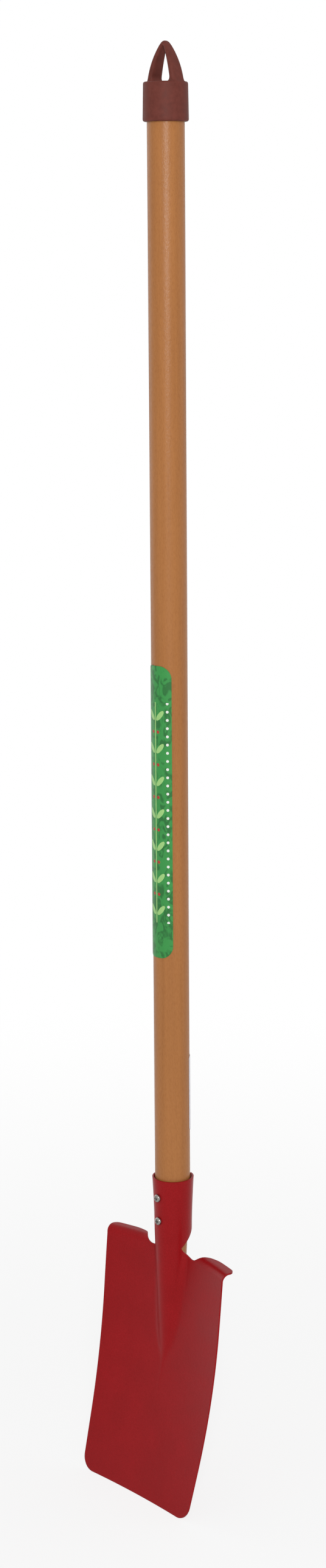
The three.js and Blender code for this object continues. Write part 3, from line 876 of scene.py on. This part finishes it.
class SPADE_OT_handle(Operator):
    """Build the varnished stick with its tenon"""
    bl_idname = "spade.handle"
    bl_label = "Handle"

    def execute(self, context):
        sizes, colours = context.scene.spade_sizes, context.scene.spade_colours
        radius = sizes.handle_diameter / 2
        tenon = TENON_END_DIAMETER / 2
        top = SLEEVE_TOP - CAP_TOP_THICKNESS - FIT_GAP
        chamfer = HANDLE_CHAMFER
        profile = [(0, -TENON_LENGTH), (tenon - chamfer, -TENON_LENGTH), (tenon, -TENON_LENGTH + chamfer)]
        profile += [(radius, 0)]
        profile += arc(radius - chamfer, top - chamfer, chamfer, 0, math.pi / 2, ARC_STEPS)
        profile += [(0, top)]
        points, faces = turned(profile, ROUND_SIDES)
        obj = new_object("wooden_handle", in_frame(points), faces)
        tidy_shell(obj)
        smooth(obj, TURNED_SHARP)
        dress(obj, varnished_wood(colours), "varnished_wood", "handle")
        return {"FINISHED"}


class SPADE_OT_blade(Operator):
    """Build the pressed blade with its treads and socket"""
    bl_idname = "spade.blade"
    bl_label = "Blade"

    def execute(self, context):
        sizes, colours = context.scene.spade_sizes, context.scene.spade_colours
        tread = tread_patch()
        patches = [panel_patch(), socket_patch(), tread, mirrored(tread)]
        points, faces = sheet(patches, sizes.sheet)
        low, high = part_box("blade")
        obj = new_object("pressed_blade", np.clip(in_frame(points), low, high), faces)
        smooth(obj, SHEET_SHARP)
        edge = obj.modifiers.new("Sheet edge", "BEVEL")
        edge.width = sizes.sheet_edge
        edge.segments = EDGE_SEGMENTS
        edge.limit_method = "ANGLE"
        edge.angle_limit = EDGE_ANGLE
        settle(obj)
        smooth(obj, SHEET_SHARP)
        dress(obj, red_enamel(colours), "red_enamel", "blade")
        return {"FINISHED"}


class SPADE_OT_end_cap(Operator):
    """Build the moulded cap with its hanging loop"""
    bl_idname = "spade.end_cap"
    bl_label = "End cap"

    def execute(self, context):
        sizes, colours = context.scene.spade_sizes, context.scene.spade_colours
        points, faces = together([sleeve(sizes.handle_diameter / 2), loop(sizes.loop_band)])
        obj = new_object("moulded_cap", in_frame(points), faces)
        tidy_shell(obj)
        fused = obj.modifiers.new("Fused", "REMESH")
        fused.mode = "VOXEL"
        fused.voxel_size = CAP_VOXEL
        soft = obj.modifiers.new("Soft", "SMOOTH")
        soft.factor = CAP_SOFTNESS
        soft.iterations = CAP_SMOOTHING
        settle(obj)
        smooth(obj, MOULDED_SHARP)
        dress(obj, brown_plastic(colours), "brown_plastic", "end_cap")
        return {"FINISHED"}


def screw_shape(sizes):
    """One screw with its head towards -Y and the head's underside at the origin."""
    radius, height = sizes.head_diameter / 2, sizes.head_height
    dome = height - SCREW_HEAD_RIM
    profile = [(0, -SCREW_SHANK_LENGTH), (SCREW_SHANK_RADIUS, SCREW_TIP_LENGTH - SCREW_SHANK_LENGTH)]
    profile += [(SCREW_SHANK_RADIUS, 0), (radius, 0)]
    profile += arc(radius - dome, SCREW_HEAD_RIM, dome, 0, math.pi / 2, ARC_STEPS)
    profile += [(0, height)]
    obj = new_object("screw_shape", *turned(profile, ROUND_SIDES // 2))
    tidy_shell(obj)
    cutters = []
    half = Vector((RECESS_SPAN / 2, RECESS_WIDTH / 2, RECESS_DEPTH))
    square = Matrix.Diagonal((half.x * math.sqrt(2), half.y * math.sqrt(2), half.z, 1))
    for turn in (0, math.pi / 2):
        cutter = new_object("recess", *turned([(0, -1), (1, -1), (1, 1), (0, 1)], 4))
        tidy_shell(cutter)
        place = Matrix.Translation((0, 0, height)) @ Matrix.Rotation(turn, 4, "Z") @ square
        cutter.data.transform(place @ Matrix.Rotation(math.pi / 4, 4, "Z"))
        cut = obj.modifiers.new("Recess", "BOOLEAN")
        cut.operation = "DIFFERENCE"
        cut.solver = "EXACT"
        cut.object = cutter
        cutters.append(cutter)
    settle(obj)
    for cutter in cutters:
        bpy.data.objects.remove(cutter)
    obj.data.transform(Matrix.Rotation(math.pi / 2, 4, "X"))
    return obj


def screw_tree(finish):
    """A tree that sets one screw at each end of a line."""
    tree = bpy.data.node_groups.new("Socket screws", "GeometryNodeTree")
    for name, kind in (("Screw", "NodeSocketObject"), ("Upper seat", "NodeSocketVector"),
                       ("Lower seat", "NodeSocketVector")):
        tree.interface.new_socket(name, in_out="INPUT", socket_type=kind)
    tree.interface.new_socket("Geometry", in_out="OUTPUT", socket_type="NodeSocketGeometry")
    given = add_node(tree, "NodeGroupInput")
    line = add_node(tree, "GeometryNodeMeshLine", {"Count": 2}, mode="END_POINTS")
    tree.links.new(given.outputs["Upper seat"], line.inputs["Start Location"])
    tree.links.new(given.outputs["Lower seat"], line.inputs["Offset"])
    shape = add_node(tree, "GeometryNodeObjectInfo", {"Object": given.outputs["Screw"]})
    spread_out = add_node(tree, "GeometryNodeInstanceOnPoints",
                          {"Points": line.outputs[0], "Instance": shape.outputs["Geometry"]})
    real = add_node(tree, "GeometryNodeRealizeInstances", {0: spread_out.outputs[0]})
    plated = add_node(tree, "GeometryNodeSetMaterial", {"Geometry": real.outputs[0], "Material": finish})
    add_node(tree, "NodeGroupOutput", {0: plated.outputs[0]})
    return tree


class SPADE_OT_screws(Operator):
    """Build the two screws on the front of the socket"""
    bl_idname = "spade.screws"
    bl_label = "Socket screws"

    def execute(self, context):
        sizes, colours = context.scene.spade_sizes, context.scene.spade_colours
        finish = nickel_plate(colours)
        shape = screw_shape(sizes)
        tree = screw_tree(finish)
        obj = new_object("socket_screws", [], [])
        spaced = obj.modifiers.new("Spaced", "NODES")
        spaced.node_group = tree
        seats = [(0, SOCKET_SET_BACK - float(socket_radius(-drop)) - FIT_GAP, -drop - PEG_SEAT)
                 for drop in SCREW_DROPS]
        values = {"Screw": shape, "Upper seat": seats[0], "Lower seat": seats[1]}
        for socket in tree.interface.items_tree:
            if socket.in_out == "INPUT":
                spaced[socket.identifier] = values[socket.name]
        settle(obj)
        bpy.data.objects.remove(shape)
        if not obj.data.polygons:
            raise RuntimeError("the screws came out empty")
        smooth(obj, TURNED_SHARP)
        dress(obj, finish, "nickel", "socket_screw_upper", "socket_screw_lower")
        return {"FINISHED"}


def build_label(name, label, sizes, finish, slot, node):
    radius = sizes.handle_diameter / 2 + LABEL_GAP + sizes.label
    points, faces = sheet([label_patch(**label, radius=radius)], sizes.label)
    obj = new_object(name, in_frame(points), faces)
    uv = obj.data.uv_layers.new(name="Label")
    for corner in obj.data.loops:
        x, y, z = obj.data.vertices[corner.vertex_index].co
        turn = (math.atan2(x, -y) - label["middle"] + math.pi) % (2 * math.pi) - math.pi
        up = (z + PEG_SEAT - label["above"]) / label["length"]
        uv.data[corner.index].uv = (turn * radius / label["wrap"] + 0.5, up)
    smooth(obj, SHEET_SHARP)
    dress(obj, finish, slot, node)


class SPADE_OT_labels(Operator):
    """Build the two labels stuck round the handle"""
    bl_idname = "spade.labels"
    bl_label = "Labels"

    def execute(self, context):
        sizes, colours = context.scene.spade_sizes, context.scene.spade_colours
        build_label("green_label", FRONT_LABEL, sizes, green_film(colours), "green_film", "front_label")
        build_label("white_label", REAR_LABEL, sizes, white_film(colours), "white_film", "rear_label")
        return {"FINISHED"}


def seen_rays(tree):
    """1 for rays from the camera, a reflection or a transmission, and 0 for the others."""
    path = add_node(tree, "ShaderNodeLightPath").outputs
    first = math_node(tree, "MAXIMUM", path["Is Camera Ray"], path["Is Glossy Ray"])
    return math_node(tree, "MAXIMUM", first, path["Is Transmission Ray"])


def floor_finish(colours):
    finish, tree, shader = start_finish("pale_floor")
    shader.inputs["Base Color"].default_value = (*colours.floor, 1)
    shader.inputs["Roughness"].default_value = FLOOR_ROUGHNESS
    white = add_node(tree, "ShaderNodeEmission", {"Color": (1, 1, 1, 1), "Strength": 1.0})
    place = add_node(tree, "ShaderNodeTexCoord").outputs["Object"]
    level = add_node(tree, "ShaderNodeVectorMath", {0: place, 1: (1, 1, 0)}, operation="MULTIPLY")
    away = add_node(tree, "ShaderNodeVectorMath", {0: level.outputs[0]}, operation="LENGTH")
    inputs = {"Value": away.outputs["Value"], **FLOOR_FADE}
    fade = add_node(tree, "ShaderNodeMapRange", inputs, interpolation_type="SMOOTHSTEP")
    shown = math_node(tree, "MULTIPLY", seen_rays(tree), fade.outputs[0])
    both = add_node(tree, "ShaderNodeMixShader", {0: shown, 1: shader.outputs[0], 2: white.outputs[0]})
    tree.links.new(both.outputs[0], tree.nodes["Material Output"].inputs["Surface"])
    return finish


def set_world(scene, level):
    world = bpy.data.worlds.new("Studio")
    world.use_nodes = True
    tree = world.node_tree
    glow = tree.nodes["Background"]
    glow.inputs["Color"].default_value = (1, 1, 1, 1)
    seen = seen_rays(tree)
    strength = add_node(tree, "ShaderNodeMapRange", {"Value": seen, "To Min": level, "To Max": 1.0})
    tree.links.new(strength.outputs[0], glow.inputs["Strength"])
    scene.world = world


def area_light(name, place, target, size, power):
    light = bpy.data.lights.new(name, "AREA")
    light.shape = "RECTANGLE"
    light.size, light.size_y = size
    light.energy = power
    obj = bpy.data.objects.new(name, light)
    obj.location = place
    obj.rotation_euler = (Vector(target) - Vector(place)).to_track_quat("-Z", "Y").to_euler()
    bpy.context.scene.collection.objects.link(obj)


def photo_camera(scene):
    data = bpy.data.cameras.new("Photo camera")
    data.sensor_width = SENSOR
    data.lens = CAMERA_FOCAL_PIXELS * SENSOR / IMAGE_LONG_SIDE
    obj = bpy.data.objects.new("Photo camera", data)
    scene.collection.objects.link(obj)
    heading = CAMERA_AZIMUTH + CAMERA_YAW
    ahead = Vector((-math.sin(heading), math.cos(heading), 0))
    right = Vector((math.cos(heading), math.sin(heading), 0))
    forward = ahead * math.cos(CAMERA_PITCH) - Vector((0, 0, math.sin(CAMERA_PITCH)))
    up = right.cross(forward)
    right = right * math.cos(CAMERA_ROLL) + up * math.sin(CAMERA_ROLL)
    up = right.cross(forward)
    turn = Matrix((right, up, -forward)).transposed().to_4x4()
    place = Vector((CAMERA_DISTANCE * math.sin(CAMERA_AZIMUTH), -CAMERA_DISTANCE * math.cos(CAMERA_AZIMUTH),
                    CAMERA_HEIGHT - PEG_SEAT))
    obj.matrix_world = Matrix.Translation(place) @ turn
    scene.camera = obj


class SPADE_OT_stage(Operator):
    """Set the floor, the light and the camera"""
    bl_idname = "spade.stage"
    bl_label = "Stage"

    def execute(self, context):
        scene = context.scene
        half = scene.spade_sizes.floor
        level = cad_box[0].z
        corners = [(-half, -half, level), (half, -half, level), (half, half, level), (-half, half, level)]
        floor = new_object("floor", corners, [(0, 1, 2, 3)])
        floor.data.materials.append(floor_finish(scene.spade_colours))
        set_world(scene, WORLD_LEVEL)
        middle = (0, 0, level / 2)
        for name, (place, size, power) in LIGHTS.items():
            area_light(name, place, middle, size, power)
        scene.view_settings.view_transform = "Standard"
        photo_camera(scene)
        return {"FINISHED"}


class SPADE_PT_panel(Panel):
    bl_label = "Children's spade"
    bl_idname = "SPADE_PT_panel"
    bl_space_type = "VIEW_3D"
    bl_region_type = "UI"
    bl_category = "Spade"

    def draw(self, context):
        for group in (context.scene.spade_sizes, context.scene.spade_colours):
            for name in group.__annotations__:
                self.layout.prop(group, name)
        for operator in OPERATORS:
            self.layout.operator(operator.bl_idname)


OPERATORS = (SPADE_OT_handle, SPADE_OT_blade, SPADE_OT_end_cap, SPADE_OT_screws, SPADE_OT_labels,
             SPADE_OT_stage)
CLASSES = (SpadeSizes, SpadeColours, *OPERATORS, SPADE_PT_panel)


def register():
    for cls in CLASSES:
        bpy.utils.register_class(cls)
    bpy.types.Scene.spade_sizes = PointerProperty(type=SpadeSizes)
    bpy.types.Scene.spade_colours = PointerProperty(type=SpadeColours)


def unregister():
    del bpy.types.Scene.spade_colours
    del bpy.types.Scene.spade_sizes
    for cls in reversed(CLASSES):
        bpy.utils.unregister_class(cls)


def main():
    register()
    bpy.ops.spade.handle()
    bpy.ops.spade.blade()
    bpy.ops.spade.end_cap()
    bpy.ops.spade.screws()
    bpy.ops.spade.labels()
    bpy.ops.spade.stage()


if __name__ == "__main__":
    main()
